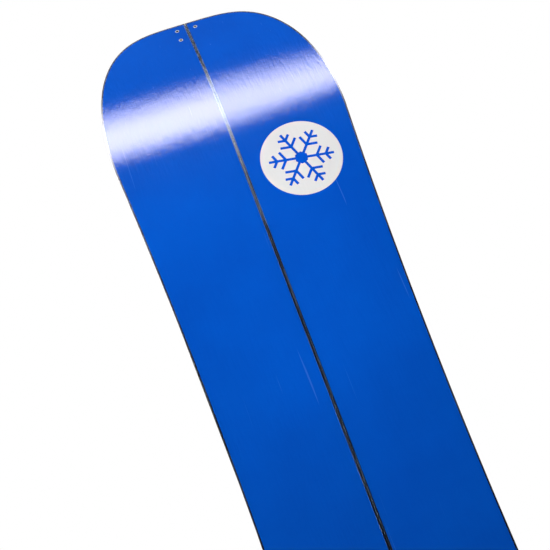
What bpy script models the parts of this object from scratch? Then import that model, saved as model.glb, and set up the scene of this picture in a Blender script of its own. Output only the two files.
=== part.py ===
"""A splitboard: a snowboard that comes apart along its middle into two touring skis.

Frame: metres, +Z towards the tip, +Y from the base towards the deck, +X to the right when the base is looked at with
the tip up. The origin is on the base, in the middle of the seam. Flat pieces are drawn on the unrolled board as
(x, s, d): x across, s along the base towards the tip, and d up from the base, and bend() lays them on the side profile.
"""

import math

import bmesh
import bpy
from mathutils import Matrix, Vector

MM = 0.001
GAP = 0.3 * MM  # clearance between pieces that touch

# Plan of the board
HALF_LENGTH = 795 * MM
WAIST_HALF = 128 * MM
WAIST_AT = -20 * MM  # the waist is set back from the middle
SIDECUT_RADIUS = 7.62
NOSE_HALF = 151 * MM
NOSE_LENGTH = 225 * MM
TAIL_HALF = 149.5 * MM
TAIL_LENGTH = 207 * MM
NOSE_POWERS = (1.89, 3.87)  # superellipse powers along and across: a blunt, square-shouldered nose
END_POINTS = 16
END_CROWDING = 1.6  # draws the outline's points together towards the seam, where it turns least

# Side profile
CAMBER_RISE = 5 * MM
NOSE_RADIUS = 525 * MM
TAIL_RADIUS = 590 * MM
CONTACT_TIP = 575 * MM  # where the nose starts to curve away
CONTACT_TAIL = 590 * MM
END_FLAT = 60 * MM  # the straight last stretch of nose and tail
CURVE_STEPS = 7
HARDWARE_FLAT = 140 * MM  # |s| of the straight stretch between the feet
RAIL_FLAT = 400 * MM  # |s| where the straight stretch under each rail ends
DISC_FLAT = 462 * MM  # |s| where the straight stretch under the disc starts

# Layers, from the base up
BASE_T = 1.7 * MM
LAMINATE_T = 0.5 * MM
CORE_THICK = 5.2 * MM
CORE_THIN = 1.6 * MM
TOPSHEET_T = 0.5 * MM
LOWER_LAMINATE = BASE_T + GAP
CORE_BOTTOM = LOWER_LAMINATE + LAMINATE_T + GAP
EDGE_W = 1.9 * MM
SEAM_HALF = 0.3 * MM  # half the gap between the two inner edges
SIDEWALL_W = 8 * MM
INNER_SIDEWALL_W = 6 * MM
SKIN_INSET = 0.6 * MM  # laminates stop short of the sidewall's face
CORE_END = 620 * MM  # |s| where the core meets the tip and tail spacers

# Base disc
DISC_X, DISC_S, DISC_R = 71.8 * MM, 523 * MM, 51.4 * MM

# Binding rails, sliders and touring inserts
RAIL_X = 60 * MM
RAIL_S = 270 * MM
RAIL_LENGTH = 236 * MM
RAIL_W, RAIL_FLANGE_W = 19 * MM, 25 * MM
RAIL_SLOT_W, RAIL_CAVITY_W = 8 * MM, 13 * MM
RAIL_FLOOR, RAIL_LIP = 1.2 * MM, 1.6 * MM
RAIL_DEPTH = 6.2 * MM
RAIL_FLANGE_T = 1.3 * MM
RAIL_DOOR_LENGTH = 22 * MM  # the wide mouth where a slider goes in
SLIDER_LENGTH = 110 * MM
SLIDER_W = RAIL_CAVITY_W - 2 * GAP
SLIDER_HOLES = (-40 * MM, 40 * MM)
M6_R = 3 * MM
INSERT_R, INSERT_H = 4.6 * MM, 5.4 * MM
INSERT_SPOTS = ((48 * MM, 74 * MM), (80 * MM, 74 * MM), (64 * MM, 22 * MM))

# Split hooks: a tongue on one half between two tongues on the other, across the seam
HOOK_S = 108 * MM
HOOK_T = 2.2 * MM
HOOK_BACK, HOOK_FRONT, HOOK_REACH = 36 * MM, 13 * MM, 12 * MM
HOOK_HALF_W = 15 * MM
TONGUE_HALF_W = 4 * MM
TONGUE_OUT = 11.5 * MM
SCREW_X, SCREW_Y = 27 * MM, 9 * MM
SCREW_R, SCREW_HEAD_R, SCREW_HEAD_H, SCREW_DEPTH = 2.3 * MM, 4.6 * MM, 2.0 * MM, 5.5 * MM

# Tip and tail clips, in the frame of an end: x across, e from the board's end, z up from the deck
PIVOT_X, PIVOT_E = 11.7 * MM, 12.2 * MM
STUD_X, STUD_E = -13.7 * MM, 21.4 * MM
RECEIVER_RIVET_E = (11.4 * MM, 31.4 * MM)
RIVET_R, RIVET_BORE_R, RIVET_BORE_DEPTH = 2.9 * MM, 1.3 * MM, 3 * MM
RECEIVER_T = 1.5 * MM
CLIP_LOW = GAP + RECEIVER_T + GAP
CLIP_T = 2.0 * MM
STUD_NECK_R, STUD_HEAD_R, HEAD_T = 3.0 * MM, 5.4 * MM, 1.5 * MM
SLOT_CLEARANCE = 0.35 * MM
SPLIT_TRAVEL = 40 * MM
CLIP_TURN = math.radians(165)
TAB_T, TAB_H, TAB_L = 1.6 * MM, 7 * MM, 14 * MM

SEGMENTS = 12  # sides of small round pieces
THREAD_SEGMENTS = 16
DISC_SEGMENTS = 48


# ---------------------------------------------------------------- plan and side profile

def end_outline(half_width, length, start_s, slope):
    """Points (x, s) of one end, from its widest place to the seam.

    It is a superellipse that starts with the sidecut's slope.
    """
    power_s, power_x = NOSE_POWERS
    points = []
    for step in range(1, END_POINTS + 1):
        turn = math.pi / 2 * (1 - (1 - step / END_POINTS) ** END_CROWDING)
        along = math.sin(turn) ** (2 / power_s)
        across = math.cos(turn) ** (2 / power_x) if step < END_POINTS else 0.0
        x = half_width * across + slope * length * along * (1 - along) * across
        points.append((x, start_s + length * along))
    return points


def sidecut(s):
    return WAIST_HALF + (s - WAIST_AT) ** 2 / (2 * SIDECUT_RADIUS)


def stations():
    """The s values where the side profile has a corner."""
    def curve(first, last):
        return [first + (last - first) * k / CURVE_STEPS for k in range(CURVE_STEPS + 1)]

    middle = [-RAIL_FLAT, -HARDWARE_FLAT, HARDWARE_FLAT, RAIL_FLAT, DISC_FLAT]
    tail = [-HALF_LENGTH] + curve(-(HALF_LENGTH - END_FLAT), -CONTACT_TAIL)
    nose = curve(CONTACT_TIP, HALF_LENGTH - END_FLAT) + [HALF_LENGTH]
    return tail + middle + nose


def slope_at(s):
    """The base's angle from +Z towards the deck at s."""
    def camber(at):
        return -2 * CAMBER_RISE * at / CONTACT_TIP**2

    if s > CONTACT_TIP:
        return camber(CONTACT_TIP) + (min(s, HALF_LENGTH - END_FLAT) - CONTACT_TIP) / NOSE_RADIUS
    if s < -CONTACT_TAIL:
        return camber(-CONTACT_TAIL) - (min(-s, HALF_LENGTH - END_FLAT) - CONTACT_TAIL) / TAIL_RADIUS
    return camber(s)


def build_profile():
    """Base points and mitred deck normals at the stations, as (y, z) vectors; the middle of the board is at 0."""
    spots = stations()
    angles = [slope_at((a + b) / 2) for a, b in zip(spots, spots[1:])]
    base = [Vector((0.0, 0.0))]
    for first, last, angle in zip(spots, spots[1:], angles):
        base.append(base[-1] + (last - first) * Vector((math.sin(angle), math.cos(angle))))
    mitres = []
    for k in range(len(spots)):
        before, after = angles[max(k - 1, 0)], angles[min(k, len(angles) - 1)]
        mean, half = (before + after) / 2, (after - before) / 2
        mitres.append(Vector((math.cos(mean), -math.sin(mean))) / math.cos(half))
    middle = spots.index(HARDWARE_FLAT)
    centre = (base[middle - 1] + base[middle]) / 2
    return spots, [point - centre for point in base], mitres, angles


STATIONS, BASE_LINE, MITRES, ANGLES = build_profile()


def segment_of(s):
    for k in range(len(STATIONS) - 2):
        if s < STATIONS[k + 1]:
            return k
    return len(STATIONS) - 2


def bend(x, s, d):
    """The board's point (x, s, d) in space."""
    k = segment_of(s)
    part = (s - STATIONS[k]) / (STATIONS[k + 1] - STATIONS[k])
    base = BASE_LINE[k].lerp(BASE_LINE[k + 1], part)
    up = MITRES[k].lerp(MITRES[k + 1], part)
    return Vector((x, base.x + d * up.x, base.y + d * up.y))


def core_thickness(s):
    """Full between the feet, then thinner down to the spacers, straight between stations."""
    part = (abs(s) - RAIL_FLAT) / (CONTACT_TIP - RAIL_FLAT)
    return CORE_THICK + (CORE_THIN - CORE_THICK) * min(max(part, 0.0), 1.0)


def above_core(height):
    return lambda s: CORE_BOTTOM + core_thickness(s) + height


def level(height):
    return lambda s: height


UPPER_LAMINATE = GAP
TOPSHEET = UPPER_LAMINATE + LAMINATE_T + GAP
deck_height = above_core(TOPSHEET + TOPSHEET_T)


# ---------------------------------------------------------------- materials and scene

def material(name, colour, roughness, metallic=0.0):
    found = bpy.data.materials.new(name)
    found.use_nodes = True
    shader = found.node_tree.nodes["Principled BSDF"]
    shader.inputs["Base Color"].default_value = (*colour, 1)
    shader.inputs["Roughness"].default_value = roughness
    shader.inputs["Metallic"].default_value = metallic
    return found


def clear_scene():
    for found in list(bpy.data.objects):
        bpy.data.objects.remove(found, do_unlink=True)


def new_collection(name):
    found = bpy.data.collections.new(name)
    bpy.context.scene.collection.children.link(found)
    return found


clear_scene()
BOARD = new_collection("splitboard")
CUTTERS = new_collection("cutters")
BLUE = material("blue_base", (0.0, 0.09, 0.62), 0.3)
WHITE = material("white_base", (0.82, 0.82, 0.82), 0.35)
STEEL = material("edge_steel", (0.35, 0.36, 0.38), 0.35, 1.0)
STAINLESS = material("stainless", (0.62, 0.62, 0.63), 0.28, 1.0)
ALUMINIUM = material("black_aluminium", (0.05, 0.05, 0.055), 0.4, 1.0)
SIDEWALL = material("black_sidewall", (0.02, 0.02, 0.022), 0.5)
GLASS = material("glass_laminate", (0.55, 0.58, 0.45), 0.5)
WOOD = material("poplar_core", (0.62, 0.47, 0.30), 0.6)
TOP = material("deck_topsheet", (0.03, 0.035, 0.045), 0.45)


def add_object(name, mesh, look=None, cutter=False):
    made = bpy.data.objects.new(name, mesh)
    (CUTTERS if cutter else BOARD).objects.link(made)
    if cutter:
        made.hide_render = True
        made.display_type = "WIRE"
    if look:
        if not mesh.materials:
            mesh.materials.append(look)
    return made


def boolean(piece, other, operation="DIFFERENCE"):
    step = piece.modifiers.new(operation.lower(), "BOOLEAN")
    step.object = other
    step.operation = operation
    step.solver = "EXACT"


# ---------------------------------------------------------------- flat pieces laid on the profile

def board_side(inset):
    """One side of the board from tail to tip, moved inwards by inset: a list of (x, s)."""
    slope_tip = (HALF_LENGTH - NOSE_LENGTH - WAIST_AT) / SIDECUT_RADIUS
    slope_tail = (HALF_LENGTH - TAIL_LENGTH + WAIST_AT) / SIDECUT_RADIUS
    nose_start, tail_start = HALF_LENGTH - NOSE_LENGTH, TAIL_LENGTH - HALF_LENGTH
    middle = [s for s in STATIONS if tail_start < s < nose_start]
    side = [(x, -s) for x, s in reversed(end_outline(TAIL_HALF, TAIL_LENGTH, -tail_start, slope_tail))]
    side += [(sidecut(s), s) for s in [tail_start] + middle + [nose_start]]
    side += end_outline(NOSE_HALF, NOSE_LENGTH, nose_start, slope_tip)
    if not inset:
        return side
    moved = []
    for k, (x, s) in enumerate(side):
        before, after = side[max(k - 1, 0)], side[min(k + 1, len(side) - 1)]
        along = Vector((after[0] - before[0], after[1] - before[1])).normalized()
        if k in (0, len(side) - 1):
            along = Vector((1, 0) if k == 0 else (-1, 0))
        moved.append((x - along.y * inset, s + along.x * inset))
    return moved


def slab(name, outlines, low, high, look, side=1, x_from=None, s_range=None, x_to=None):
    """A flat piece between the heights low(s) and high(s), from outlines of (x, s) that join edge to edge."""
    flat = bmesh.new()
    for outline in outlines:
        flat.faces.new([flat.verts.new((x, s, 0)) for x, s in outline])
    bmesh.ops.remove_doubles(flat, verts=flat.verts, dist=1e-6)
    cuts = []
    if x_from is not None:
        cuts.append(((x_from, 0, 0), (-1, 0, 0)))
    if x_to is not None:
        cuts.append(((x_to, 0, 0), (1, 0, 0)))
    if s_range:
        cuts += [((0, s_range[0], 0), (0, -1, 0)), ((0, s_range[1], 0), (0, 1, 0))]
    for point, out in cuts:
        parts = flat.verts[:] + flat.edges[:] + flat.faces[:]
        bmesh.ops.bisect_plane(flat, geom=parts, plane_co=point, plane_no=out, clear_outer=True, dist=1e-7)
    for s in STATIONS[1:-1]:
        parts = flat.verts[:] + flat.edges[:] + flat.faces[:]
        bmesh.ops.bisect_plane(flat, geom=parts, plane_co=(0, s, 0), plane_no=(0, 1, 0), dist=1e-7)
    raised = bmesh.ops.extrude_face_region(flat, geom=flat.faces[:], use_keep_orig=True)
    top = {item for item in raised["geom"] if isinstance(item, bmesh.types.BMVert)}
    for vert in flat.verts:
        x, s, _ = vert.co
        vert.co = bend(side * x, s, high(s) if vert in top else low(s))
    bmesh.ops.recalc_face_normals(flat, faces=flat.faces)
    mesh = bpy.data.meshes.new(name)
    flat.to_mesh(mesh)
    flat.free()
    return add_object(name, mesh, look)


def whole(inset):
    """One outline: all of a half inside an inset of the board's side."""
    return [board_side(inset)]


def band(outer, inner):
    """The strip between two insets of the board's side, as a row of quads."""
    out, back = board_side(outer), board_side(inner)
    return [[out[k], out[k + 1], back[k + 1], back[k]] for k in range(len(out) - 1)]


# ---------------------------------------------------------------- solids in a local frame

def frame_at(x, s, height, end=1):
    """Where a piece stands: x across the board, y towards the waist or tail, and z up from the deck."""
    k = segment_of(s)
    up = Vector((0, math.cos(ANGLES[k]), -math.sin(ANGLES[k])))
    along = Vector((0, -math.sin(ANGLES[k]), -math.cos(ANGLES[k]))) * end
    across = Vector((end, 0, 0))
    axes = Matrix((across, along, up)).transposed().to_4x4()
    return Matrix.Translation(bend(x, s, height)) @ axes


def end_frame(end, x=0.0, e=0.0):
    """The frame on the deck at the tip (end=1) or, turned half round, at the tail (end=-1)."""
    s = end * (HALF_LENGTH - e)
    return frame_at(end * x, s, deck_height(s), end)


def prism(bm, outline, low, high, at=Matrix.Identity(4)):
    """A closed prism of an (x, y) outline between two heights, added to a bmesh."""
    face = bm.faces.new([bm.verts.new(at @ Vector((x, y, low))) for x, y in outline])
    raised = bmesh.ops.extrude_face_region(bm, geom=[face], use_keep_orig=True)
    verts = [item for item in raised["geom"] if isinstance(item, bmesh.types.BMVert)]
    lift = at.to_3x3() @ Vector((0, 0, high - low))
    bmesh.ops.translate(bm, verts=verts, vec=lift)


def circle(x, y, radius, segments=SEGMENTS):
    turns = [2 * math.pi * k / segments for k in range(segments)]
    return [(x + radius * math.cos(turn), y + radius * math.sin(turn)) for turn in turns]


def rectangle(x_from, x_to, y_from, y_to):
    return [(x_from, y_from), (x_to, y_from), (x_to, y_to), (x_from, y_to)]


def prisms(name, shapes, look=None, cutter=False):
    """One object from a list of prisms, each (outline, low, high, frame)."""
    bm = bmesh.new()
    for outline, low, high, at in shapes:
        prism(bm, outline, low, high, at)
    bmesh.ops.recalc_face_normals(bm, faces=bm.faces)
    mesh = bpy.data.meshes.new(name)
    bm.to_mesh(mesh)
    bm.free()
    return add_object(name, mesh, look, cutter)


def turned(name, profile, at, look, segments=SEGMENTS, cutter=False):
    """A turned piece: an (r, z) profile that runs down its outer side, swept by a Screw modifier."""
    mesh = bpy.data.meshes.get(name.rstrip("0123456789_") + "_turned")
    if not mesh:
        mesh = bpy.data.meshes.new(name.rstrip("0123456789_") + "_turned")
        points = [(r, 0, z) for r, z in profile]
        closed = profile[0][0] > 0
        edges = [(k, k + 1) for k in range(len(points) - 1)] + ([(len(points) - 1, 0)] if closed else [])
        mesh.from_pydata(points, edges, [])
    piece = add_object(name, mesh, look, cutter)
    piece.matrix_world = at
    spin = piece.modifiers.new("turn", "SCREW")
    spin.steps = segments
    spin.render_steps = segments
    spin.use_merge_vertices = True
    spin.merge_threshold = 0.00005
    spin.use_smooth_shade = True
    return piece


# ---------------------------------------------------------------- the layers of one half

def ski_layers(side, word):
    """The bonded layers of one half, from the base up."""
    core_high = above_core(0.0)
    pieces = {}

    def add(name, outlines, low, high, look, **limits):
        pieces[name] = slab(f"{word}_{name}", outlines, low, high, look, side, **limits)

    end_inset = HALF_LENGTH - EDGE_W - GAP
    past_edge = SEAM_HALF + EDGE_W + GAP
    add("outer_edge", band(0, EDGE_W), level(0), level(BASE_T), STEEL, x_from=SEAM_HALF)
    add("inner_edge", whole(0), level(0), level(BASE_T), STEEL,
        x_from=SEAM_HALF, x_to=SEAM_HALF + EDGE_W, s_range=(-end_inset, end_inset))
    add("base_sheet", whole(EDGE_W + GAP), level(0), level(BASE_T), BLUE, x_from=past_edge)
    add("lower_laminate", whole(SKIN_INSET), level(LOWER_LAMINATE), level(LOWER_LAMINATE + LAMINATE_T), GLASS,
        x_from=SEAM_HALF + SKIN_INSET)
    inner = SEAM_HALF + GAP + INNER_SIDEWALL_W
    middle = (-CORE_END, CORE_END)
    add("inner_sidewall", whole(0), level(CORE_BOTTOM), core_high, SIDEWALL,
        x_from=SEAM_HALF + GAP, x_to=inner, s_range=middle)
    add("outer_sidewall", band(GAP, SIDEWALL_W), level(CORE_BOTTOM), core_high, SIDEWALL, x_from=0.05,
        s_range=middle)
    add("core", whole(SIDEWALL_W + GAP), level(CORE_BOTTOM), core_high, WOOD, x_from=inner + GAP,
        s_range=middle)
    add("tip_spacer", whole(GAP), level(CORE_BOTTOM), core_high, SIDEWALL,
        x_from=SEAM_HALF + GAP, s_range=(CORE_END + GAP, 1.0))
    add("tail_spacer", whole(GAP), level(CORE_BOTTOM), core_high, SIDEWALL,
        x_from=SEAM_HALF + GAP, s_range=(-1.0, -CORE_END - GAP))
    add("upper_laminate", whole(SKIN_INSET), above_core(UPPER_LAMINATE),
        above_core(UPPER_LAMINATE + LAMINATE_T), GLASS, x_from=SEAM_HALF + SKIN_INSET)
    add("topsheet", whole(SKIN_INSET), above_core(TOPSHEET), deck_height, TOP, x_from=SEAM_HALF + SKIN_INSET)
    return pieces


# ---------------------------------------------------------------- rails, sliders and inserts

def rail_section():
    """The rail's (x, z) section, z down from the flange's top: a T-slot open at the top."""
    half, wide = RAIL_W / 2, RAIL_FLANGE_W / 2
    slot, cavity = RAIL_SLOT_W / 2, RAIL_CAVITY_W / 2
    right = [(slot, 0), (wide, 0), (wide, -RAIL_FLANGE_T), (half, -RAIL_FLANGE_T), (half, -RAIL_DEPTH)]
    inside = [(cavity, RAIL_FLOOR - RAIL_DEPTH), (cavity, -RAIL_LIP), (slot, -RAIL_LIP)]
    return right + [(-x, z) for x, z in reversed(right)] + [(-x, z) for x, z in reversed(inside)] + inside


RAIL_TOP = 0.1 * MM  # the flange stands this proud of the topsheet


def rail_frame(x, s):
    return frame_at(x, s, deck_height(s) + RAIL_TOP)


def rail_mouth_y(s):
    """The wide mouth is at the rail's end nearer the board's middle; y runs towards the tail."""
    return math.copysign(RAIL_LENGTH / 2 - RAIL_DOOR_LENGTH, s)


def rail(name, x, s):
    """An extruded T-slot rail with a wide mouth near one end."""
    at = rail_frame(x, s)
    along = Matrix.Rotation(math.pi / 2, 4, "X")  # the section's y becomes height, and its length runs along y
    piece = prisms(name, [(rail_section(), -RAIL_LENGTH / 2, RAIL_LENGTH / 2, at @ along)], ALUMINIUM)
    mouth = rectangle(-RAIL_CAVITY_W / 2, RAIL_CAVITY_W / 2, -RAIL_DOOR_LENGTH / 2, RAIL_DOOR_LENGTH / 2)
    mouth_at = at @ Matrix.Translation((0, rail_mouth_y(s), 0))
    door = prisms(name + "_mouth", [(mouth, -RAIL_LIP * 1.2, 2 * MM, mouth_at)], cutter=True)
    boolean(piece, door)
    return piece


def slider(name, x, s):
    """The threaded bar in the rail's undercut that takes the binding's M6 screws."""
    at = rail_frame(x, s)
    low, high = RAIL_FLOOR - RAIL_DEPTH + GAP, -RAIL_LIP - GAP
    bar = rectangle(-SLIDER_W / 2, SLIDER_W / 2, -SLIDER_LENGTH / 2, SLIDER_LENGTH / 2)
    piece = prisms(name, [(bar, low, high, at)], STAINLESS)
    holes = [(circle(0, y, M6_R, THREAD_SEGMENTS), low - MM, high + MM, at) for y in SLIDER_HOLES]
    boolean(piece, prisms(name + "_tap", holes, cutter=True))
    return piece


def touring_insert(name, x, s):
    """A blind threaded insert, flush with the deck, for the touring bracket."""
    at = frame_at(x, s, deck_height(s))
    plug = prisms(name, [(circle(0, 0, INSERT_R), -INSERT_H, 0, at)], STAINLESS)
    bore = circle(0, 0, M6_R, THREAD_SEGMENTS)
    boolean(plug, prisms(name + "_tap", [(bore, MM - INSERT_H, MM, at)], cutter=True))
    return plug


# ---------------------------------------------------------------- split hooks

def tongue_outline(side):
    """The single-tongue plate, in (x, y) at its own side of the seam."""
    half = [(-HOOK_BACK, HOOK_HALF_W), (-HOOK_FRONT, HOOK_HALF_W), (-HOOK_FRONT, TONGUE_HALF_W),
            (HOOK_REACH, TONGUE_HALF_W)]
    outline = half + [(x, -y) for x, y in reversed(half)]
    return [(-side * x, y) for x, y in outline]


def fork_outline(side):
    """The two-tongue plate that straddles the single tongue."""
    inner = TONGUE_HALF_W + GAP
    half = [(-HOOK_BACK, HOOK_HALF_W), (-HOOK_FRONT, HOOK_HALF_W), (-HOOK_FRONT, TONGUE_OUT),
            (HOOK_REACH, TONGUE_OUT), (HOOK_REACH, inner), (-HOOK_FRONT, inner)]
    outline = half + [(x, -y) for x, y in reversed(half)]
    return [(-side * x, y) for x, y in outline]


def hook_frame(s):
    return frame_at(0, s, deck_height(s))


def hook_screw_frames(side, s):
    """The deck frames of one plate's two screws."""
    return [hook_frame(s) @ Matrix.Translation((side * SCREW_X, y, 0)) for y in (-SCREW_Y, SCREW_Y)]


def hook_plate(name, side, s, outline):
    plate = prisms(name, [(outline, GAP, GAP + HOOK_T, hook_frame(s))], STAINLESS)
    holes = [(circle(0, 0, SCREW_R + GAP), 0, 2 * HOOK_T, at) for at in hook_screw_frames(side, s)]
    boolean(plate, prisms(name + "_holes", holes, cutter=True))
    return plate


def screw(name, at):
    """A pan-head screw with a hexagonal socket."""
    low = HOOK_T + 2 * GAP
    high = low + SCREW_HEAD_H
    profile = [(0, high), (SCREW_HEAD_R * 0.6, high), (SCREW_HEAD_R, low + SCREW_HEAD_H * 0.45),
               (SCREW_HEAD_R, low), (SCREW_R, low), (SCREW_R, -SCREW_DEPTH), (0, -SCREW_DEPTH)]
    piece = turned(name, profile, at, STAINLESS)
    hexagon = circle(0, 0, 1.6 * MM, 6)
    boolean(piece, prisms(name + "_socket", [(hexagon, high - 1.3 * MM, high + MM, at)], cutter=True))
    return piece


# ---------------------------------------------------------------- tip and tail clips

def capsule(first, last, r_first, r_last, steps=7):
    """The outline around two circles and their common tangents."""
    (x0, y0), (x1, y1) = first, last
    heading = math.atan2(y1 - y0, x1 - x0)
    open_angle = math.acos((r_first - r_last) / math.hypot(x1 - x0, y1 - y0))
    outline = []
    for (x, y), r, start, stop in (
        (first, r_first, heading + open_angle, heading + 2 * math.pi - open_angle),
        (last, r_last, heading - open_angle, heading + open_angle),
    ):
        for k in range(steps + 1):
            turn = start + (stop - start) * k / steps
            outline.append((x + r * math.cos(turn), y + r * math.sin(turn)))
    return outline


def stud_path(length=16 * MM, steps=8):
    """The stud's way through the clip, from the pivot, as the halves part and the clip turns with them."""
    path = []
    for k in range(steps + 1):
        parted = length * k / steps
        turn = CLIP_TURN * parted / SPLIT_TRAVEL
        x, y = STUD_X - PIVOT_X - parted, STUD_E - PIVOT_E
        path.append((x * math.cos(turn) - y * math.sin(turn), x * math.sin(turn) + y * math.cos(turn)))
    return path


def ribbon(path, half_width, steps=6):
    """The outline of a round cutter swept along a path, round at its start."""
    left, right = [], []
    for k, (x, y) in enumerate(path):
        before, after = path[max(k - 1, 0)], path[min(k + 1, len(path) - 1)]
        along = Vector((after[0] - before[0], after[1] - before[1])).normalized()
        left.append((x - along.y * half_width, y + along.x * half_width))
        right.append((x + along.y * half_width, y - along.x * half_width))
    start = math.atan2(left[0][1] - path[0][1], left[0][0] - path[0][0])
    turns = [start + math.pi * k / steps for k in range(1, steps)]
    x, y = path[0]
    nose = [(x + half_width * math.cos(turn), y + half_width * math.sin(turn)) for turn in turns]
    return right[::-1] + nose[::-1] + left


def clip(name, end):
    """The turning clip: a slotted plate on a collar, with a finger tab, turning about its rivet."""
    at = end_frame(end, PIVOT_X, PIVOT_E)
    seat = (STUD_X - PIVOT_X, STUD_E - PIVOT_E)
    top = CLIP_LOW + CLIP_T
    plate = prisms(name, [(capsule((0, 0), seat, 8.5 * MM, 9.5 * MM), CLIP_LOW, top, at)], STAINLESS)
    collar = prisms(name + "_collar", [(circle(0, 0, 6.5 * MM), GAP, CLIP_LOW + CLIP_T / 2, at)], cutter=True)
    turn = math.atan2(seat[1], seat[0])
    tab_at = at @ Matrix.Rotation(turn, 4, "Z") @ Matrix.Translation((math.hypot(*seat) / 2, -7.4 * MM, 0))
    tab_shape = rectangle(-TAB_L / 2, TAB_L / 2, -TAB_T / 2, TAB_T / 2)
    tab = prisms(name + "_tab", [(tab_shape, CLIP_LOW + CLIP_T / 3, CLIP_LOW + TAB_H, tab_at)], cutter=True)
    slot = ribbon(stud_path(), STUD_NECK_R + SLOT_CLEARANCE)
    cuts = [(slot, CLIP_LOW - MM, top + MM, at), (circle(0, 0, RIVET_R + GAP), 0, top + MM, at)]
    boolean(plate, collar, "UNION")
    boolean(plate, tab, "UNION")
    boolean(plate, prisms(name + "_cuts", cuts, cutter=True))
    return plate


def pivot_rivet(name, end):
    """The headed rivet that the clip turns on, through the whole board, with a hollow end in the base."""
    at = end_frame(end, PIVOT_X, PIVOT_E)
    foot = GAP / 2 - deck_height(HALF_LENGTH)
    low = CLIP_LOW + CLIP_T + GAP
    high = low + HEAD_T
    profile = [(0, high), (5.0 * MM, high), (6.5 * MM, high - 0.8 * MM), (6.5 * MM, low), (RIVET_R, low),
               (RIVET_R, foot), (RIVET_BORE_R, foot), (RIVET_BORE_R, foot + RIVET_BORE_DEPTH),
               (0, foot + RIVET_BORE_DEPTH)]
    return turned(name, profile, at, STAINLESS)


def flush_rivet(name, end, e):
    """A flush rivet through the receiver plate and the board, with a hollow end in the base."""
    at = end_frame(end, STUD_X, e)
    foot = GAP / 2 - deck_height(HALF_LENGTH)
    high = GAP + RECEIVER_T - 0.1 * MM
    profile = [(0, high), (RIVET_R, high), (RIVET_R, foot), (RIVET_BORE_R, foot),
               (RIVET_BORE_R, foot + RIVET_BORE_DEPTH), (0, foot + RIVET_BORE_DEPTH)]
    return turned(name, profile, at, STAINLESS)


def receiver(name, end):
    """The receiver plate with its mushroom stud, on the half across the seam from the clip."""
    at = end_frame(end, STUD_X, STUD_E)
    ends = [e - STUD_E for e in RECEIVER_RIVET_E]
    outline = capsule((0, ends[0]), (0, ends[1]), 7 * MM, 7 * MM)
    plate = prisms(name, [(outline, GAP, GAP + RECEIVER_T, at)], STAINLESS)
    neck_top = CLIP_LOW + CLIP_T + GAP
    profile = [(0, neck_top + HEAD_T), (STUD_HEAD_R * 0.7, neck_top + HEAD_T),
               (STUD_HEAD_R, neck_top + HEAD_T / 2), (STUD_HEAD_R, neck_top), (STUD_NECK_R, neck_top), (STUD_NECK_R, GAP + RECEIVER_T / 2),
               (0, GAP + RECEIVER_T / 2)]
    stud = turned(name + "_stud", profile, at, STAINLESS, cutter=True)
    holes = [(circle(0, e, RIVET_R + GAP), 0, 2 * RECEIVER_T, at) for e in ends]
    boolean(plate, stud, "UNION")
    boolean(plate, prisms(name + "_holes", holes, cutter=True))
    return plate


# ---------------------------------------------------------------- holes through the layers

def rivet_spots(side):
    """(end, x, e) of the rivets through this half: the clip's pivot at one end, the receiver's pair at the other."""
    return [(side, PIVOT_X, PIVOT_E)] + [(-side, STUD_X, e) for e in RECEIVER_RIVET_E]


def cut_layers(side, word, layers):
    thick = deck_height(0)
    rivet_holes = [(circle(0, 0, RIVET_R + GAP), -2 * thick, thick, end_frame(end, x, e))
                   for end, x, e in rivet_spots(side)]
    rivet_drill = prisms(f"{word}_rivet_drill", rivet_holes, cutter=True)
    for name in ("base_sheet", "lower_laminate", "tip_spacer", "tail_spacer", "upper_laminate", "topsheet"):
        boolean(layers[name], rivet_drill)

    screws = [at for s in (HOOK_S, -HOOK_S) for at in hook_screw_frames(side, s)]
    holes = [(circle(0, 0, SCREW_R + GAP), -SCREW_DEPTH - GAP, MM, at) for at in screws]
    holes += [(circle(0, 0, INSERT_R + GAP), -INSERT_H - GAP, MM, frame_at(side * x, s, deck_height(s)))
              for x, s in INSERT_SPOTS]
    for end in (1, -1):
        at = rail_frame(side * RAIL_X, end * RAIL_S)
        wide, long = RAIL_FLANGE_W / 2 + GAP, RAIL_LENGTH / 2 + GAP
        holes.append((rectangle(-wide, wide, -long, long), -RAIL_FLANGE_T - GAP, 2 * MM, at))
    deck_drill = prisms(f"{word}_deck_drill", holes, cutter=True)
    pockets = []
    for end in (1, -1):
        at = rail_frame(side * RAIL_X, end * RAIL_S)
        wide, long = RAIL_W / 2 + GAP, RAIL_LENGTH / 2 + GAP
        pockets.append((rectangle(-wide, wide, -long, long), -RAIL_DEPTH - GAP, 0, at))
    pocket = prisms(f"{word}_rail_pocket", pockets, cutter=True)
    for name in ("topsheet", "upper_laminate", "core"):
        boolean(layers[name], deck_drill)
    boolean(layers["core"], pocket)


def disc_inlay(base):
    """The white disc let into the right half's base near the tip."""
    at = frame_at(DISC_X, DISC_S, 0)
    hole = circle(0, 0, DISC_R + GAP / 2, DISC_SEGMENTS)
    boolean(base, prisms("disc_punch", [(hole, -MM, BASE_T + MM, at)], cutter=True))
    return prisms("base_disc", [(circle(0, 0, DISC_R - GAP / 2, DISC_SEGMENTS), 0, BASE_T, at)], WHITE)


# ---------------------------------------------------------------- assembly

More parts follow.
